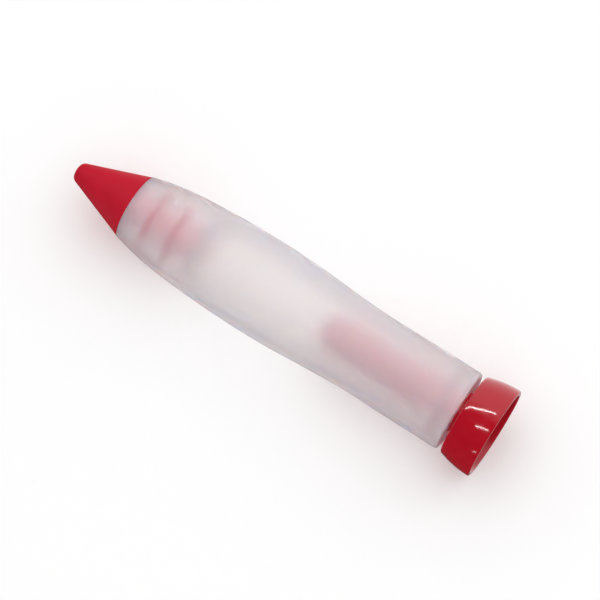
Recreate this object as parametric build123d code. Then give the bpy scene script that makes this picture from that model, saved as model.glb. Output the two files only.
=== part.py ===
from build123d import *
import os

# A crayon-shaped squeeze pen for decorating food, lying on its side.
# It comes apart into three mouldings: a soft silicone tube, a hard nozzle whose barbed
# spigot is pushed into the tube's front mouth, and an end cap whose stem plugs the rear.
#
# Frame: millimetres, +Z up. The pen's axis lies along X, nozzle towards -X and cap
# towards +X. The origin is on the surface that the pen lies on, under its middle.
# Stations along the pen are measured from the nozzle's tip, rearwards.

# ---- driving dimensions: whole pen ----
total_length = 145.0
belly_radius = 14.3          # largest radius of the tube, and also of the cap's rim
wall = 2.2                   # silicone, away from its two mouths
edge_rounding = 0.5

# ---- nozzle ----
tip_radius = 2.7             # flat front, before its edge is rounded
tip_rounding = 1.9
cone_length = 20.6
cone_base_radius = 10.1
outlet_radius = 1.2
outlet_length = 2.5
passage_radius = 4.3
passage_start = 12.0         # behind here the passage has its full width
spigot_end = 41.6
spigot_radius = 6.1          # core between the barbs
barb_radius = 7.6
barb_crests = (27.9, 35.9)   # stations of the two crests, front one first
barb_face = 0.5              # length of a barb's steep front side
barb_ramp = 4.4              # length of a barb's gentle rear side

# ---- squeeze tube ----
lip_radius = 10.2
lip_slope = 0.26             # radius gained per length where the tube starts
front_mouth_radius = barb_radius + 0.1
front_mouth_end = 42.1
front_mouth_slope = 0.7      # radius gained per length where the cavity opens out
cavity_start = 54.0          # the wall has its even thickness from here
cavity_start_radius = 11.9
cavity_start_slope = 0.03
belly_station = 66.0
waist_station = 104.5
waist_radius = 12.54
barrel_start = 115.0         # the tube is parallel from here to its rear edge
barrel_radius = 12.67
tube_end = 133.05
collar_length = 4.6          # thick rear ring that grips the cap's neck
collar_slope_length = 1.2
rear_edge_rounding = 1.0

# ---- end cap ----
cap_front = 134.3
neck_radius = 6.6
rear_mouth_radius = neck_radius + 0.1
shoulder_radius = 12.6
shoulder_rounding = 2.0
straight_wall_start = 144.2  # the cup's wall is parallel to the axis behind here
cap_wall = 1.5
cap_floor = 1.9
floor_radius = 11.3
stem_front = 87.0
stem_front_radius = 5.6
stem_front_rounding = 3.2
stem_wall = 1.6

middle = total_length / 2


def turned(edges, roundings):
    """Round corners of a closed outline of (station, radius), revolve it, lay it down.

    roundings maps a corner's (station, radius) to its fillet radius.
    """
    outline = Sketch() + make_face(edges)
    for corner, radius in roundings.items():
        nearest = outline.vertices().sort_by_distance((*corner, 0))[0]
        outline = fillet(nearest, radius)
    solid = revolve(Plane.XZ * outline, axis=Axis.X)
    return Pos(-middle, 0, belly_radius) * solid


def make_squeeze_tube():
    """Soft tube: its skin from lip to rear edge, then back along the cavity."""
    cavity_waist = waist_radius - wall
    cavity_barrel = barrel_radius - wall
    collar_front = tube_end - collar_length

    shoulder = Spline(
        (cone_length, lip_radius), (30.1, 12.32), (42.0, 13.4),
        (belly_station, belly_radius),
        tangents=[(1, lip_slope), (1, 0)])
    belly = Spline(
        (belly_station, belly_radius), (86.1, 13.57), (waist_station, waist_radius),
        tangents=[(1, 0), (1, 0)])
    flare = Spline(
        (waist_station, waist_radius), (barrel_start, barrel_radius),
        tangents=[(1, 0), (1, 0)])
    rear = Polyline(
        (barrel_start, barrel_radius), (tube_end, barrel_radius),
        (tube_end, rear_mouth_radius), (collar_front, rear_mouth_radius),
        (collar_front - collar_slope_length, cavity_barrel),
        (barrel_start, cavity_barrel))
    cavity_flare = Spline(
        (barrel_start, cavity_barrel), (waist_station, cavity_waist),
        tangents=[(-1, 0), (-1, 0)])
    cavity_belly = Spline(
        (waist_station, cavity_waist), (86.1, 13.57 - wall),
        (belly_station, belly_radius - wall), (cavity_start, cavity_start_radius),
        tangents=[(-1, 0), (-1, -cavity_start_slope)])
    cavity_front = Spline(
        (cavity_start, cavity_start_radius), (front_mouth_end, front_mouth_radius),
        tangents=[(-1, -cavity_start_slope), (-1, -front_mouth_slope)])
    front = Polyline(
        (front_mouth_end, front_mouth_radius), (cone_length, front_mouth_radius),
        (cone_length, lip_radius))
    return turned(
        [shoulder, belly, flare, rear, cavity_flare, cavity_belly, cavity_front, front],
        {(cone_length, lip_radius): edge_rounding,
         (cone_length, front_mouth_radius): edge_rounding,
         (tube_end, barrel_radius): rear_edge_rounding,
         (tube_end, rear_mouth_radius): edge_rounding,
         (collar_front - collar_slope_length, cavity_barrel): 2 * edge_rounding})


def make_nozzle():
    """Hard cone with its outlet, and the barbed spigot behind it."""
    outside = [(0, outlet_radius), (0, tip_radius), (cone_length, cone_base_radius),
               (cone_length, spigot_radius)]
    for crest in barb_crests:
        outside += [(crest - barb_face, spigot_radius), (crest, barb_radius),
                    (crest + barb_ramp, spigot_radius)]
    outside += [(spigot_end, spigot_radius)]
    inside = [(spigot_end, passage_radius), (passage_start, passage_radius),
              (outlet_length, outlet_radius)]
    roundings = {(0, tip_radius): tip_rounding,
                 (cone_length, cone_base_radius): 0.2,
                 (spigot_end, spigot_radius): 0.8}
    for crest in barb_crests:
        roundings[(crest, barb_radius)] = 0.15
    return turned([Polyline(*outside, *inside, close=True)], roundings)


def make_end_cap():
    """Hard cup open to the rear, and its hollow stem reaching into the tube."""
    stem_root = tube_end - collar_length
    floor = cap_front + cap_floor
    rim_inner_radius = belly_radius - cap_wall
    bore_root = neck_radius - stem_wall
    bore_tip = stem_front_radius - stem_wall
    bore_end = stem_front + stem_front_rounding

    stem = Polyline(
        (total_length, rim_inner_radius), (floor, floor_radius),
        (floor, bore_root), (bore_end, bore_tip), (bore_end, 0),
        (stem_front, 0), (stem_front, stem_front_radius),
        (stem_root, neck_radius), (cap_front, neck_radius),
        (cap_front, shoulder_radius))
    bulge = TangentArc(
        (straight_wall_start, belly_radius), (cap_front, shoulder_radius),
        tangent=(-1, 0))
    rim = Polyline(
        (straight_wall_start, belly_radius), (total_length, belly_radius),
        (total_length, rim_inner_radius))
    return turned(
        [stem, bulge, rim],
        {(stem_front, stem_front_radius): stem_front_rounding,
         (cap_front, neck_radius): 0.4,
         (cap_front, shoulder_radius): shoulder_rounding,
         (floor, floor_radius): 1.5,
         (floor, bore_root): 0.6,
         (total_length, belly_radius): 0.5,
         (total_length, rim_inner_radius): 0.5})


def main():
    """Write each moulding to its own file."""
    os.makedirs("parts", exist_ok=True)
    pieces = {
        "squeeze_tube": make_squeeze_tube(),
        "nozzle": make_nozzle(),
        "end_cap": make_end_cap(),
    }
    for name, piece in pieces.items():
        export_step(piece, f"parts/{name}.step")
        print(f"{name}: {piece.volume / 1000:.2f} cm3")


main()
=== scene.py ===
# %% [markdown]
# # A squeeze pen for decorating food, made in Blender
#
# The pen is shaped like a fat crayon. It is three mouldings: a soft tube of milky silicone, a
# hard matt red cone whose barbed spigot is pushed into the tube's front, and a glossy red cup
# whose long stem plugs the tube's rear. The silicone is frosted, so the red pieces inside it
# show as soft pink shapes: sharper where they touch the wall, blurred where they stand off it.
# That is the whole character of the pen, so its insides are made as carefully as its outside.
#
# The frame comes first. It is the design: three solids whose sizes and places are fixed. Each
# visible piece below is made to those sizes and rides on the body of the solid it stands for.

# %% Load the frame and take the main sizes from it
import math

import bmesh
import bpy
from mathutils import Matrix, Vector


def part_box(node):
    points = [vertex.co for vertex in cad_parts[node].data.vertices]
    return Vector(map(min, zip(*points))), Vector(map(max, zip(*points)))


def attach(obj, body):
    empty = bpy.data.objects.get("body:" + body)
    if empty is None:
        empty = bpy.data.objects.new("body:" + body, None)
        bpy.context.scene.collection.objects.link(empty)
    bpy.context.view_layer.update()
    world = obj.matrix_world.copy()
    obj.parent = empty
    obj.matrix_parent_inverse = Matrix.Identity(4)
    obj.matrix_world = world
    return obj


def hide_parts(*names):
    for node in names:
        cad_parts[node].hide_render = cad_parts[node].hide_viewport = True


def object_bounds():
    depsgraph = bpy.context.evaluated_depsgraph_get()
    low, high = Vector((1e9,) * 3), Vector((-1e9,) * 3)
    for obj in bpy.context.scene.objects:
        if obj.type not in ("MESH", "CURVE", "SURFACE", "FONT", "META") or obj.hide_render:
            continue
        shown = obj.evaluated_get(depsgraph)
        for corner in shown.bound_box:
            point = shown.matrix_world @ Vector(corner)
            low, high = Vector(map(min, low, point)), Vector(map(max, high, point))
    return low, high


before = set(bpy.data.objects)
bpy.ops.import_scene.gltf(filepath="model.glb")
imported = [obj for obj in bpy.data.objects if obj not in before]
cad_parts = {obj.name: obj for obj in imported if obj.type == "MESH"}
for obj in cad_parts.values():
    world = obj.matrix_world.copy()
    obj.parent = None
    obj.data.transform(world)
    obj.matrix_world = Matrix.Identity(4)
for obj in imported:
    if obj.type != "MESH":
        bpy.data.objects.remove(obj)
cad_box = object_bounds()

MM = 0.001
pen_length = (cad_box[1].x - cad_box[0].x) / MM
pen_radius = (cad_box[1].z - cad_box[0].z) / 2 / MM
print(f"pen: {pen_length:.1f} mm long, {2 * pen_radius:.1f} mm across")


def stations(node):
    """Where a solid starts and ends along the pen, in millimetres from the nozzle's tip."""
    low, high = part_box(node)
    return low.x / MM + pen_length / 2, high.x / MM + pen_length / 2


tube_front, tube_rear = stations("squeeze_tube")
spigot_end = stations("nozzle")[1]
stem_front = stations("end_cap")[0]
print(f"tube from {tube_front:.2f} to {tube_rear:.2f}, spigot to {spigot_end:.2f},"
      f" stem from {stem_front:.2f}")


# %% [markdown]
# ## One way of adding a node
#
# Shader trees and geometry trees are built in the same way: add a node, set its options, and
# give each input a value or a link. One helper does that for every kind of node, so each tree
# below reads as a list of what it is made of.

# %% A helper that adds a node with its settings and links
def add(tree, kind, inputs=None, **settings):
    """Add a node; inputs maps a socket's name or number to a value or another socket."""
    new = tree.nodes.new(kind)
    for name, value in settings.items():
        setattr(new, name, value)
    for key, value in (inputs or {}).items():
        if isinstance(value, bpy.types.NodeSocket):
            tree.links.new(value, new.inputs[key])
        else:
            new.inputs[key].default_value = value
    return new


# %% [markdown]
# ## Turned shapes
#
# Every piece of the pen is round, so each one is its outline turned about the pen's axis, as on
# a lathe. Blender's Screw modifier could do it, but a Geometry Nodes tree can also round the
# outline's corners, keep the facets small on long runs, tell a wall's skin from its cavity, and
# raise the fine lines that the two halves of the mould leave along the silicone.
#
# An outline is a closed or open chain of points: how far along the pen (its station), how far
# from the axis, and how much that corner is rounded, all in millimetres. A smooth run is a
# cubic curve, worked out from the radius and slope at its two ends.

# %% Outline helpers
def smooth_run(start, end, start_slope=0.0, end_slope=0.0, step=1.5):
    """Points of a curve between two (station, radius) ends with the given slopes."""
    (x0, r0), (x1, r1) = start, end
    span = x1 - x0
    count = max(2, round(abs(span) / step))
    points = []
    for i in range(1, count):
        t = i / count
        ease = t * t * (3 - 2 * t)
        lift = t * (1 - t) * ((1 - t) * start_slope - t * end_slope) * span
        points.append((x0 + span * t, r0 + (r1 - r0) * ease + lift))
    return [start, *points, end]


def outline_curve(name, points, closed):
    """A flat curve of (station, radius, rounding) points; the rounding is each point's radius."""
    curve = bpy.data.curves.new(name, "CURVE")
    curve.dimensions = "3D"
    spline = curve.splines.new("POLY")
    spline.points.add(len(points) - 1)
    for target, (station, radius, *rounding) in zip(spline.points, points):
        target.co = ((station - pen_length / 2) * MM, radius * MM, 0, 1)
        target.radius = rounding[0] * MM if rounding else 0
    spline.use_cyclic_u = closed
    piece = bpy.data.objects.new(name, curve)
    bpy.context.scene.collection.objects.link(piece)
    return piece


# %% [markdown]
# The lathe is a Geometry Nodes tree in four stages: finish the outline, bend a ring, sweep the
# outline round the ring, and raise the mould line. Each stage is a function that adds its nodes
# to the tree and gives back the socket that its shape comes out of.

# %% Lathe, stage 1: finish the outline
RING_RADIUS = 1e-5   # metres; the path that the outline is swept round, nearly a point


def finished_outline(tree, given, position, x, y):
    """Round the corners, cut long runs into short steps, and turn the outline to be swept."""
    rounded = add(tree, "GeometryNodeFilletCurve", {
        "Curve": given["Geometry"], "Count": given["Corner Steps"],
        "Radius": add(tree, "GeometryNodeInputRadius").outputs[0],
        "Limit Radius": True}, mode="POLY")
    following = add(tree, "GeometryNodeOffsetPointInCurve", {"Offset": 1})
    next_place = add(tree, "GeometryNodeFieldAtIndex", {
        "Index": following.outputs["Point Index"], "Value": position},
        data_type="FLOAT_VECTOR", domain="POINT")
    run = add(tree, "ShaderNodeVectorMath", {0: position, 1: next_place.outputs["Value"]},
              operation="DISTANCE")
    cuts = add(tree, "ShaderNodeMath", {0: run.outputs["Value"], 1: given["Longest Step"]},
               operation="DIVIDE")
    stepped = add(tree, "GeometryNodeSubdivideCurve", {
        "Curve": rounded.outputs["Curve"], "Cuts": cuts.outputs[0]})
    stand_off = add(tree, "ShaderNodeMath", {0: y, 1: RING_RADIUS}, operation="SUBTRACT")
    backwards = add(tree, "ShaderNodeMath", {0: x, 1: -1.0}, operation="MULTIPLY")
    turned = add(tree, "ShaderNodeCombineXYZ", {
        "X": stand_off.outputs[0], "Y": backwards.outputs[0]})
    profile = add(tree, "GeometryNodeSetPosition", {
        "Geometry": stepped.outputs["Curve"], "Position": turned.outputs[0]})
    return profile.outputs["Geometry"]


# %% Lathe, stage 2: a ring whose points crowd near the two mould lines
def crowded_ring(tree, given, x, y):
    """The small circle that the outline is swept round."""
    ring = add(tree, "GeometryNodeCurvePrimitiveCircle", {
        "Resolution": given["Sides"], "Radius": RING_RADIUS})
    angle = add(tree, "ShaderNodeMath", {0: y, 1: x}, operation="ARCTAN2").outputs[0]
    from_seam = add(tree, "ShaderNodeMath", {0: angle, 1: given["Seam Turn"]},
                    operation="SUBTRACT")
    twice = add(tree, "ShaderNodeMath", {0: from_seam.outputs[0], 1: 2.0},
                operation="MULTIPLY")
    wave = add(tree, "ShaderNodeMath", {0: twice.outputs[0]}, operation="SINE")
    pull = add(tree, "ShaderNodeMath", {0: wave.outputs[0], 1: given["Crowding"]},
               operation="MULTIPLY")
    moved = add(tree, "ShaderNodeMath", {0: angle, 1: pull.outputs[0]},
                operation="SUBTRACT").outputs[0]
    on_ring = add(tree, "ShaderNodeCombineXYZ", {
        "X": add(tree, "ShaderNodeMath", {0: moved}, operation="COSINE").outputs[0],
        "Y": add(tree, "ShaderNodeMath", {0: moved}, operation="SINE").outputs[0]})
    place = add(tree, "ShaderNodeVectorMath", {0: on_ring.outputs[0], "Scale": RING_RADIUS},
                operation="SCALE")
    crowded = add(tree, "GeometryNodeSetPosition", {
        "Geometry": ring.outputs["Curve"], "Position": place.outputs[0]})
    return crowded.outputs["Geometry"]


# %% Lathe, stage 3: sweep the outline round the ring
def swept_along_x(tree, ring, profile, x, y, z):
    """The turned skin, laid along X because the sweep's own axis is Z."""
    swept = add(tree, "GeometryNodeCurveToMesh", {"Curve": ring, "Profile Curve": profile})
    place = add(tree, "ShaderNodeCombineXYZ", {"X": z, "Y": x, "Z": y})
    laid = add(tree, "GeometryNodeSetPosition", {
        "Geometry": swept.outputs["Mesh"], "Position": place.outputs[0]})
    return laid.outputs["Geometry"]


# %% Lathe, stage 4: mark the skin and raise the mould line
FACES_OUT = 0.6       # how far a normal points away from the axis where the ridge may rise
FACES_INWARDS = -0.3  # and where a wall starts to count as the inside of a bore or cavity


def with_mould_line(tree, given, mesh, y, z):
    """Store "outside" for the materials, and push the skin out beside the two mould lines."""
    flat = add(tree, "ShaderNodeCombineXYZ", {"Y": y, "Z": z}).outputs[0]
    outward = add(tree, "ShaderNodeVectorMath", {0: flat}, operation="NORMALIZE").outputs[0]
    facing = add(tree, "ShaderNodeVectorMath", {
        0: add(tree, "GeometryNodeInputNormal").outputs[0], 1: outward},
        operation="DOT_PRODUCT").outputs["Value"]
    outside = add(tree, "ShaderNodeMath", {0: facing, 1: FACES_INWARDS},
                  operation="GREATER_THAN")
    marked = add(tree, "GeometryNodeStoreNamedAttribute", {
        "Geometry": mesh, "Name": "outside", "Value": outside.outputs[0]},
        data_type="FLOAT", domain="POINT")

    # The ridge is a bell curve of the distance from the nearer line.
    side = add(tree, "ShaderNodeMath", {0: z, 1: y}, operation="ARCTAN2")
    off_seam = add(tree, "ShaderNodeMath", {0: side.outputs[0], 1: given["Seam Turn"]},
                   operation="SUBTRACT")
    beside = add(tree, "ShaderNodeMath", {0: off_seam.outputs[0]}, operation="SINE")
    reach = add(tree, "ShaderNodeVectorMath", {0: flat}, operation="LENGTH")
    distance = add(tree, "ShaderNodeMath", {0: beside.outputs[0], 1: reach.outputs["Value"]},
                   operation="MULTIPLY")
    relative = add(tree, "ShaderNodeMath", {0: distance.outputs[0], 1: given["Seam Width"]},
                   operation="DIVIDE").outputs[0]
    squared = add(tree, "ShaderNodeMath", {0: relative, 1: relative}, operation="MULTIPLY")
    falling = add(tree, "ShaderNodeMath", {0: squared.outputs[0], 1: -1.0},
                  operation="MULTIPLY")
    bell = add(tree, "ShaderNodeMath", {0: falling.outputs[0]}, operation="EXPONENT")
    height = add(tree, "ShaderNodeMath", {0: bell.outputs[0], 1: given["Seam Height"]},
                 operation="MULTIPLY")
    on_skin = add(tree, "ShaderNodeMath", {0: facing, 1: FACES_OUT}, operation="GREATER_THAN")
    rise = add(tree, "ShaderNodeMath", {0: height.outputs[0], 1: on_skin.outputs[0]},
               operation="MULTIPLY")
    offset = add(tree, "ShaderNodeVectorMath", {0: outward, "Scale": rise.outputs[0]},
                 operation="SCALE")
    seamed = add(tree, "GeometryNodeSetPosition", {
        "Geometry": marked.outputs["Geometry"], "Offset": offset.outputs[0]})
    return seamed.outputs["Geometry"]


# %% The whole lathe
def build_lathe():
    """Outline in, turned solid out."""
    tree = bpy.data.node_groups.new("lathe", "GeometryNodeTree")
    sockets = tree.interface
    sockets.new_socket("Geometry", in_out="INPUT", socket_type="NodeSocketGeometry")
    for name, kind in (("Sides", "Int"), ("Corner Steps", "Int"), ("Longest Step", "Float"),
                       ("Axis Height", "Float"), ("Seam Height", "Float"),
                       ("Seam Width", "Float"), ("Seam Turn", "Float"),
                       ("Crowding", "Float"), ("Material", "Material")):
        sockets.new_socket(name, in_out="INPUT", socket_type="NodeSocket" + kind)
    sockets.new_socket("Geometry", in_out="OUTPUT", socket_type="NodeSocketGeometry")
    given = add(tree, "NodeGroupInput").outputs
    position = add(tree, "GeometryNodeInputPosition").outputs[0]
    x, y, z = add(tree, "ShaderNodeSeparateXYZ", {0: position}).outputs

    profile = finished_outline(tree, given, position, x, y)
    ring = crowded_ring(tree, given, x, y)
    skin = swept_along_x(tree, ring, profile, x, y, z)
    seamed = with_mould_line(tree, given, skin, y, z)

    # Close the poles, lift the axis to its height, and finish.
    merged = add(tree, "GeometryNodeMergeByDistance", {
        "Geometry": seamed, "Distance": 2 * RING_RADIUS})
    raise_by = add(tree, "ShaderNodeCombineXYZ", {"Z": given["Axis Height"]})
    in_place = add(tree, "GeometryNodeTransform", {
        "Geometry": merged.outputs["Geometry"], "Translation": raise_by.outputs[0]})
    smooth = add(tree, "GeometryNodeSetShadeSmooth", {"Geometry": in_place.outputs[0]})
    real = add(tree, "GeometryNodeRealizeInstances", {0: smooth.outputs[0]})
    made = add(tree, "GeometryNodeSetMaterial", {
        "Geometry": real.outputs[0], "Material": given["Material"]})
    add(tree, "NodeGroupOutput", {0: made.outputs[0]})
    return tree


lathe = build_lathe()
print("lathe:", len(lathe.nodes), "nodes")


# %% Turning an outline into a plain mesh
def turn(name, points, closed, material, node, body, slot, **sizes):
    """Turn an outline on the lathe, keep the result as a mesh, and fix it to its body."""
    source = outline_curve(name + "_outline", points, closed)
    modifier = source.modifiers.new("lathe", "NODES")
    modifier.node_group = lathe
    values = {"Sides": 128, "Corner Steps": 6, "Longest Step": 0.8 * MM,
              "Axis Height": pen_radius * MM, "Seam Height": 0.0, "Seam Width": MM,
              "Seam Turn": 0.0, "Crowding": 0.0, "Material": material, **sizes}
    for item in lathe.interface.items_tree:
        if item.in_out == "INPUT" and item.name in values:
            modifier[item.identifier] = values[item.name]
    source.update_tag()
    graph = bpy.context.evaluated_depsgraph_get()
    mesh = bpy.data.meshes.new_from_object(source.evaluated_get(graph))
    mesh.name = name
    bpy.data.objects.remove(source)
    shape = bmesh.new()
    shape.from_mesh(mesh)
    bmesh.ops.recalc_face_normals(shape, faces=shape.faces)
    open_edges = sum(not edge.is_manifold for edge in shape.edges)
    volume = shape.calc_volume(signed=True)
    shape.to_mesh(mesh)
    shape.free()
    piece = bpy.data.objects.new(name, mesh)
    bpy.context.scene.collection.objects.link(piece)
    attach(piece, body)
    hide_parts(node)
    print(f"{name}: {len(mesh.polygons)} faces, {open_edges} open edges,"
          f" {volume / MM ** 3 / 1000:.2f} cm3")
    return piece


# %% [markdown]
# ## Materials: colours first
#
# Colours are easier to judge as sRGB hex, the form a colour picker shows, but a shader adds and
# multiplies light, so it needs linear values. One function converts them all.

# %% Colours as hex, turned to Blender's linear values
def linear(hex_colour):
    """sRGB hex such as 'b3162c' to a linear RGBA colour."""
    channels = [int(hex_colour[i:i + 2], 16) / 255 for i in (0, 2, 4)]
    return (*[c / 12.92 if c <= 0.04045 else ((c + 0.055) / 1.055) ** 2.4
              for c in channels], 1.0)


def new_material(name):
    """An empty node material: the material, its node tree and its output node."""
    material = bpy.data.materials.new(name)
    material.use_nodes = True
    tree = material.node_tree
    tree.nodes.clear()
    return material, tree, add(tree, "ShaderNodeOutputMaterial")


def grain(tree, size_mm, detail=2.0):
    """Noise on Object coordinates whose blobs are about size_mm across."""
    place = add(tree, "ShaderNodeTexCoord").outputs["Object"]
    return add(tree, "ShaderNodeTexNoise", {
        "Vector": place, "Scale": 1 / (size_mm * MM), "Detail": detail}).outputs["Fac"]


# %% [markdown]
# ## Frosted silicone
#
# Platinum-cured silicone is cloudy: light that enters it is scattered a little everywhere. It
# could be made as a volume, which is exact but slow and noisy in so thin a wall. Here each skin
# of the wall is a mix of two shaders instead. One is clear rubber that bends light, and one is
# milk, which scatters it below the surface. Three things make it read as silicone:
#
# - the outer skin is satin, from a blasted mould, while the cavity's skin is far rougher, so a
#   red edge is clearer where it touches the wall and soft where it stands away from it;
# - fine scattering turns the milk lilac-blue and leaves the light that gets through yellower,
#   which draws the red that shows through a little towards mauve;
# - at a glancing angle a ray runs a long way inside the wall, so the milk thickens there.
#
# Light from lamps and from the pale floor also has to get into the tube and out again.
# Following such rays through four rough skins would lose nearly all of them and leave the tube
# grey, so at each skin a good part of them goes straight on.

# %% Silicone
def make_silicone():
    """Clear and milky rubber in one; the mesh's "outside" value tells skin from cavity."""
    material, tree, out = new_material("platinum_silicone_frosted")
    outside = add(tree, "ShaderNodeAttribute", attribute_name="outside").outputs["Fac"]

    # How milky: more on the outer skin, more at a glancing angle, and never quite even.
    glance = add(tree, "ShaderNodeLayerWeight", {"Blend": 0.5}).outputs["Facing"]
    long_path = add(tree, "ShaderNodeMath", {0: glance, 1: 2.5}, operation="POWER")
    skin_haze = add(tree, "ShaderNodeMapRange", {
        "Value": long_path.outputs[0], "To Min": 0.30, "To Max": 0.90})
    haze = add(tree, "ShaderNodeMix", {
        "Factor": outside, "A": 0.28, "B": skin_haze.outputs[0]}, data_type="FLOAT")
    cloud = add(tree, "ShaderNodeMapRange", {
        "Value": grain(tree, 9.0), "To Min": -0.06, "To Max": 0.06})
    uneven_haze = add(tree, "ShaderNodeMath", {
        0: haze.outputs[0], 1: cloud.outputs[0]}, operation="ADD", use_clamp=True)

    # The blasted skin: a grain of 0.3 mm is too fine to show, so it is drawn at 0.7 mm.
    frost = add(tree, "ShaderNodeMapRange", {
        "Value": outside, "To Min": 0.75, "To Max": 0.36})
    blasted = add(tree, "ShaderNodeBump", {
        "Height": grain(tree, 0.7, 4.0), "Strength": 0.35, "Distance": 0.06 * MM})
    clear = add(tree, "ShaderNodeBsdfPrincipled", {
        "Base Color": linear("fffdf4"), "Roughness": frost.outputs[0], "IOR": 1.41,
        "Transmission Weight": 1.0, "Normal": blasted.outputs[0]})
    milk = add(tree, "ShaderNodeBsdfPrincipled", {
        "Base Color": linear("efeaff"), "Roughness": 0.5, "IOR": 1.41,
        "Subsurface Weight": 1.0, "Subsurface Radius": (1.3, 1.0, 0.8),
        "Subsurface Scale": 1.0 * MM, "Normal": blasted.outputs[0]})
    rubber = add(tree, "ShaderNodeMixShader", {
        0: uneven_haze.outputs[0], 1: clear.outputs[0], 2: milk.outputs[0]})

    # Rays that only carry light: how much of them goes straight on through one skin.
    lamp_light, floor_light = 0.50, 0.82
    ray = add(tree, "ShaderNodeLightPath").outputs
    from_lamp = add(tree, "ShaderNodeMath", {
        0: ray["Is Shadow Ray"], 1: lamp_light}, operation="MULTIPLY")
    from_floor = add(tree, "ShaderNodeMath", {
        0: ray["Is Diffuse Ray"], 1: floor_light}, operation="MULTIPLY")
    passing = add(tree, "ShaderNodeMath", {
        0: from_lamp.outputs[0], 1: from_floor.outputs[0]}, operation="MAXIMUM")
    lit = add(tree, "ShaderNodeMixShader", {
        0: passing.outputs[0], 1: rubber.outputs[0],
        2: add(tree, "ShaderNodeBsdfTransparent").outputs[0]})
    tree.links.new(lit.outputs[0], out.inputs["Surface"])
    return material


silicone = make_silicone()
print(silicone.name, len(silicone.node_tree.nodes), "nodes")

# %% [markdown]
# ## Matt red plastic
#
# The nozzle is injection-moulded polypropylene from a spark-eroded mould, which prints a fine
# even grain on it. The grain scatters the mirror-like part of the reflection, so the colour
# stays deep and flat across the cone and no highlight runs along it. Noise gives the grain as
# bump and roughness, and a slower noise shifts the red slightly, as pigment does where the
# plastic flowed.

# %% Matt red
def make_matt_red():
    """Spark-eroded polypropylene; its 0.3 mm grain is drawn at 0.6 mm so that it shows."""
    material, tree, out = new_material("polypropylene_matt_red")
    flow = add(tree, "ShaderNodeMix", {
        "Factor": grain(tree, 5.0, 3.0), "A": linear("ba0c25"), "B": linear("cc102e")},
        data_type="RGBA")
    pitted = grain(tree, 0.6, 3.0)
    sheen = add(tree, "ShaderNodeMapRange", {
        "Value": pitted, "To Min": 0.48, "To Max": 0.66})
    bump = add(tree, "ShaderNodeBump", {
        "Height": pitted, "Strength": 0.6, "Distance": 0.08 * MM})
    plastic = add(tree, "ShaderNodeBsdfPrincipled", {
        "Base Color": flow.outputs["Result"], "Roughness": sheen.outputs[0], "IOR": 1.49,
        "Specular IOR Level": 0.12, "Normal": bump.outputs[0]})
    tree.links.new(plastic.outputs[0], out.inputs["Surface"])
    return material


matt_red = make_matt_red()
print(matt_red.name, len(matt_red.node_tree.nodes), "nodes")

# %% [markdown]
# ## Glossy red plastic
#
# The cap is the same plastic from a polished mould, so it mirrors the lamps as thin bright
# streaks. No moulding is perfectly true: the wall sinks a little as it cools, and that bends
# the streaks. A slow noise as bump does so here, and handling leaves patches that are slightly
# duller.

# %% Glossy red
def make_gloss_red():
    """Polished polypropylene with sink waves of 5 mm and faint handling marks."""
    material, tree, out = new_material("polypropylene_gloss_red")
    flow = add(tree, "ShaderNodeMix", {
        "Factor": grain(tree, 7.0), "A": linear("b00b1e"), "B": linear("be0f25")},
        data_type="RGBA")
    handled = add(tree, "ShaderNodeMapRange", {
        "Value": grain(tree, 2.5, 4.0), "From Min": 0.35, "From Max": 0.75,
        "To Min": 0.06, "To Max": 0.16})
    waves = add(tree, "ShaderNodeBump", {
        "Height": grain(tree, 5.0, 1.0), "Strength": 0.5, "Distance": 0.25 * MM})
    plastic = add(tree, "ShaderNodeBsdfPrincipled", {
        "Base Color": flow.outputs["Result"], "Roughness": handled.outputs[0], "IOR": 1.49,
        "Normal": waves.outputs[0]})
    tree.links.new(plastic.outputs[0], out.inputs["Surface"])
    return material


gloss_red = make_gloss_red()
print(gloss_red.name, len(gloss_red.node_tree.nodes), "nodes")

# %% [markdown]
# ## The nozzle
#
# A hard cone with a small outlet, and behind it a spigot with two barbs, like the teeth of a
# hose fitting: steep in front and gently sloped behind, so it slides in and grips. The barbs
# are a fraction larger than the bore that takes them. Where their crests press into the
# silicone there is no air between, and the red shows through as two curved bands.

# %% Nozzle
cone_radius = 10.1
tip_radius, tip_rounding = 2.7, 1.9
outlet_radius, outlet_length = 1.2, 2.5
spigot_radius, passage_radius = 6.1, 4.3
passage_start = 12.0
crest_radius = 7.75
crest_stations = (27.9, 35.9)
barb_face, barb_ramp = 0.5, 4.4

nozzle_outline = [(0, outlet_radius, 0.15), (0, tip_radius, tip_rounding),
                  (tube_front, cone_radius, 0.15), (tube_front, spigot_radius, 0.1)]
for crest in crest_stations:
    nozzle_outline += [(crest - barb_face, spigot_radius, 0.2), (crest, crest_radius, 0.12),
                       (crest + barb_ramp, spigot_radius, 0.8)]
nozzle_outline += [(spigot_end, spigot_radius, 0.5), (spigot_end, passage_radius, 0.3),
                   (passage_start, passage_radius, 1.0), (outlet_length, outlet_radius, 0.3)]
nozzle = turn("nozzle_moulding", nozzle_outline, True, matt_red, "nozzle", "nozzle",
              "red_matt_plastic")

# %% [markdown]
# ## The squeeze tube
#
# The tube is widest at its belly, drawn in at the waist where the fingers hold it, and parallel
# from there to its rear edge. Its wall is even except at the two mouths, where it is thick
# enough to grip the spigot and the cap's neck. The outline is a chain of smooth runs, out along
# the skin and back along the cavity, so the wall is a real wall with its own inner surface.
#
# The two halves of its mould meet along two lines on the skin, and there the lathe raises a
# fine ridge. A real one is usually under a tenth of a millimetre high, too fine to show, so it
# is drawn at a quarter of a millimetre, and even so it shows only where light falls across it.

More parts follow.
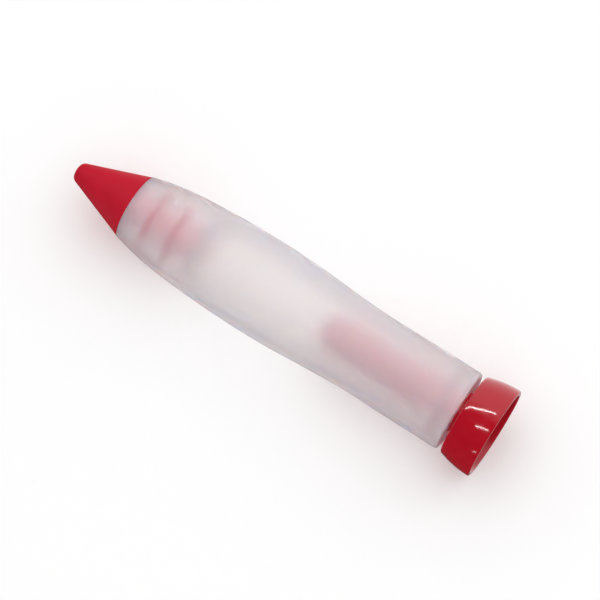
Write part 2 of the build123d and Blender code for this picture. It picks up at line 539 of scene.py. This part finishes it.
# %% Tube
wall = 2.2
lip_radius, lip_slope = 10.2, 0.26
shoulder_station, shoulder_radius, shoulder_slope = 33.0, 12.68, 0.115
belly_station = 66.0
waist_station, waist_radius = 104.5, 12.54
barrel_station, barrel_radius = 115.0, 12.67
bore_radius, bore_end, bore_slope = 7.4, 42.1, 0.7
cavity_station, cavity_radius, cavity_slope = 54.0, 11.9, 0.03
rear_edge_rounding = 1.0
neck_hole, collar_length, collar_slope_length = 6.7, 4.6, 1.2
collar_front = tube_rear - collar_length

belly = (belly_station, pen_radius)
waist = (waist_station, waist_radius)
barrel = (barrel_station, barrel_radius)
shoulder = (shoulder_station, shoulder_radius)
cavity_front = (cavity_station, cavity_radius)
inner_belly, inner_waist, inner_barrel = [(x, r - wall) for x, r in (belly, waist, barrel)]

skin = smooth_run((tube_front, lip_radius), shoulder, lip_slope, shoulder_slope)
skin += smooth_run(shoulder, belly, shoulder_slope)[1:]
skin += smooth_run(belly, waist)[1:]
skin += smooth_run(waist, barrel)[1:]
cavity = smooth_run(inner_barrel, inner_waist)
cavity += smooth_run(inner_waist, inner_belly)[1:]
cavity += smooth_run(inner_belly, cavity_front, 0.0, cavity_slope)[1:]
cavity += smooth_run(cavity_front, (bore_end, bore_radius), cavity_slope, bore_slope)[1:]
rear_edge = [(tube_rear, barrel_radius, rear_edge_rounding), (tube_rear, neck_hole, 0.5),
             (collar_front, neck_hole, 0.3),
             (collar_front - collar_slope_length, barrel_radius - wall, 1.0)]
tube_outline = [(*skin[0], 0.45), *skin[1:], *rear_edge, *cavity,
                (tube_front, bore_radius, 0.5)]
mould_line = math.radians(162)   # measured round the pen, from +Y towards +Z
tube = turn("tube_moulding", tube_outline, True, silicone, "squeeze_tube", "tube",
            "clear_silicone", **{
                "Sides": 192, "Seam Height": 0.25 * MM, "Seam Width": 0.40 * MM,
                "Seam Turn": mould_line, "Crowding": 0.4})

# %% [markdown]
# ## The end cap
#
# The cap is a cup that is open to the rear. Its side swells from a rounded shoulder to a short
# parallel wall, and a neck joins it to the hollow stem that reaches far into the tube. The
# outline starts and ends on the axis, so the lathe closes the stem's round nose by itself.

# %% Cap
cap_front, cup_floor = 134.3, 136.2
neck_radius, stem_radius, stem_nose = 6.6, 5.6, 3.2
cap_shoulder, cap_shoulder_rounding, swell_slope = 12.6, 2.0, 0.34
rim_wall_start, rim_wall, rim_rounding = 144.2, 1.5, 0.5
floor_radius, stem_wall = 11.3, 1.6
rim_inner_radius = pen_radius - rim_wall

cap_outline = [(stem_front, 0), (stem_front, stem_radius, stem_nose),
               (collar_front, neck_radius), (cap_front, neck_radius, 0.4)]
swell = smooth_run((cap_front, cap_shoulder), (rim_wall_start, pen_radius), swell_slope, 0, 0.6)
cap_outline += [(*swell[0], cap_shoulder_rounding), *swell[1:]]
cap_outline += [(pen_length, pen_radius, rim_rounding),
                (pen_length, rim_inner_radius, rim_rounding), (cup_floor, floor_radius, 1.5),
                (cup_floor, neck_radius - stem_wall, 0.6),
                (stem_front + stem_nose, stem_radius - stem_wall, 2.0),
                (stem_front + stem_nose, 0)]
cap = turn("cap_moulding", cap_outline, False, gloss_red, "end_cap", "end_cap",
           "red_gloss_plastic", Sides=160)

# %% [markdown]
# ## Floor and soft light
#
# The pen lies on a sheet of opal acrylic that glows a little from below, as on a light table.
# That keeps its shadow pale and sends light up into the translucent tube. A pale world lights
# it from all round, a little stronger from one side, and a large softbox on that side gives
# the shadow its direction. Mirror-like reflections are another matter: a glossy cap in an
# evenly white room looks chalky. So rays that come off a gloss see a dark ceiling with a bright
# far side, and the streaks on the cap come from narrow lamps that only glossy surfaces see.

# %% Floor
floor_reach = 3.0
corners = [(x * floor_reach, y * floor_reach, 0) for x, y in ((-1, -1), (1, -1), (1, 1), (-1, 1))]
floor_mesh = bpy.data.meshes.new("floor")
floor_mesh.from_pydata(corners, [], [(0, 1, 2, 3)])
floor = bpy.data.objects.new("floor", floor_mesh)
bpy.context.scene.collection.objects.link(floor)
acrylic, acrylic_tree, acrylic_out = new_material("opal_acrylic_light_table")
opal = add(acrylic_tree, "ShaderNodeBsdfPrincipled", {
    "Base Color": linear("fbfbfb"), "Roughness": 1.0, "Specular IOR Level": 0.0,
    "Emission Color": linear("ffffff"), "Emission Strength": 0.10})
acrylic_tree.links.new(opal.outputs[0], acrylic_out.inputs["Surface"])
floor_mesh.materials.append(acrylic)
floor.visible_glossy = False   # a gloss sees the dark room there too, not a white sheet
print("floor:", 2 * floor_reach, "m square")

# %% World
world = bpy.data.worlds.new("bright_room")
bpy.context.scene.world = world
world.use_nodes = True
world.cycles.sampling_method = "NONE"   # so that the lamps' rays don't mix the two lights below
sky = world.node_tree
direction = add(sky, "ShaderNodeTexCoord").outputs["Generated"]
sideways = add(sky, "ShaderNodeSeparateXYZ", {0: direction}).outputs["Y"]
soft_light = add(sky, "ShaderNodeMapRange", {
    "Value": sideways, "From Min": -1.0, "From Max": 1.0, "To Min": 0.56, "To Max": 0.78})
mirrored_light = add(sky, "ShaderNodeMapRange", {
    "Value": sideways, "From Min": 0.05, "From Max": 0.55, "To Min": 0.06, "To Max": 1.2})
off_gloss = add(sky, "ShaderNodeLightPath").outputs["Is Glossy Ray"]
strength = add(sky, "ShaderNodeMix", {
    "Factor": off_gloss, "A": soft_light.outputs[0], "B": mirrored_light.outputs[0]},
    data_type="FLOAT")
backdrop = sky.nodes["Background"]
backdrop.inputs["Color"].default_value = (1, 1, 1, 1)
sky.links.new(strength.outputs[0], backdrop.inputs["Strength"])


# %% Lamps
def area_lamp(name, place, towards, size, brightness, along=None):
    """A flat lamp of size (long, short) metres; brightness is its radiance."""
    data = bpy.data.lights.new(name, "AREA")
    data.shape = "RECTANGLE"
    data.size, data.size_y = size
    data.energy = brightness * math.pi * size[0] * size[1]
    item = bpy.data.objects.new(name, data)
    back_side = (place - towards).normalized()
    lengthwise = along or Vector((1, 0, 0)).cross(back_side)
    short_side = back_side.cross(lengthwise).normalized()
    long_side = short_side.cross(back_side)
    turn_to_place = Matrix((long_side, short_side, back_side)).transposed().to_4x4()
    item.matrix_world = Matrix.Translation(place) @ turn_to_place
    bpy.context.scene.collection.objects.link(item)
    print(f"{name}: {data.energy:.2f} W")
    return item


pen_centre = Vector((0, 0, pen_radius * MM))
softbox = area_lamp("softbox", Vector((0.10, 0.26, 0.95)), pen_centre, (1.8, 1.5), 0.62)
softbox.visible_glossy = False

# Each narrow lamp: its two ends in metres from the middle of the cap, its width and radiance.
cap_centre = Vector((0.067, 0, pen_radius * MM))
streak_ends = {
    "long_streak": (Vector((-0.10, 0.46, 0.90)), Vector((-0.95, 0.08, 0.90)), 0.050, 34.0),
    "short_streak": (Vector((-0.10, -0.20, 0.95)), Vector((-0.38, -0.37, 0.95)), 0.045, 30.0),
    "low_glint": (Vector((-0.08, -0.98, 0.25)), Vector((-0.14, -0.98, 0.25)), 0.05, 16.0),
}
for name, (start, end, width, brightness) in streak_ends.items():
    middle = cap_centre + (start + end) / 2
    strip = area_lamp(name, middle, cap_centre, ((end - start).length, width), brightness,
                      along=end - start)
    strip.visible_diffuse = False
    strip.visible_transmission = False

# %% [markdown]
# ## Camera
#
# The camera stands above the pen, turned so that the pen runs from upper left to lower right,
# and slightly behind its middle, so that it looks a little way into the open cap. It aims at a
# point close to the pen's middle and uses a longish lens from under a metre away.

# %% Camera
turn_angle, height_angle = math.radians(33.27), math.radians(73.97)
distance, view_angle, sensor = 0.85, math.radians(11.69), 36.0
level = math.cos(height_angle)
back = Vector((math.sin(turn_angle) * level, -math.cos(turn_angle) * level,
               math.sin(height_angle)))
right = Vector((math.cos(turn_angle), math.sin(turn_angle), 0))
above = back.cross(right)
target = pen_centre + right * 4.74 * MM + above * 0.16 * MM
camera_data = bpy.data.cameras.new("camera")
camera_data.sensor_width = sensor
camera_data.lens = sensor / (2 * math.tan(view_angle / 2))
camera = bpy.data.objects.new("camera", camera_data)
camera.location = target + back * distance
camera.rotation_euler = (-back).to_track_quat("-Z", "Y").to_euler()
bpy.context.scene.collection.objects.link(camera)
bpy.context.scene.camera = camera
bpy.context.scene.view_settings.view_transform = "Standard"
print(f"camera: {camera_data.lens:.0f} mm lens")
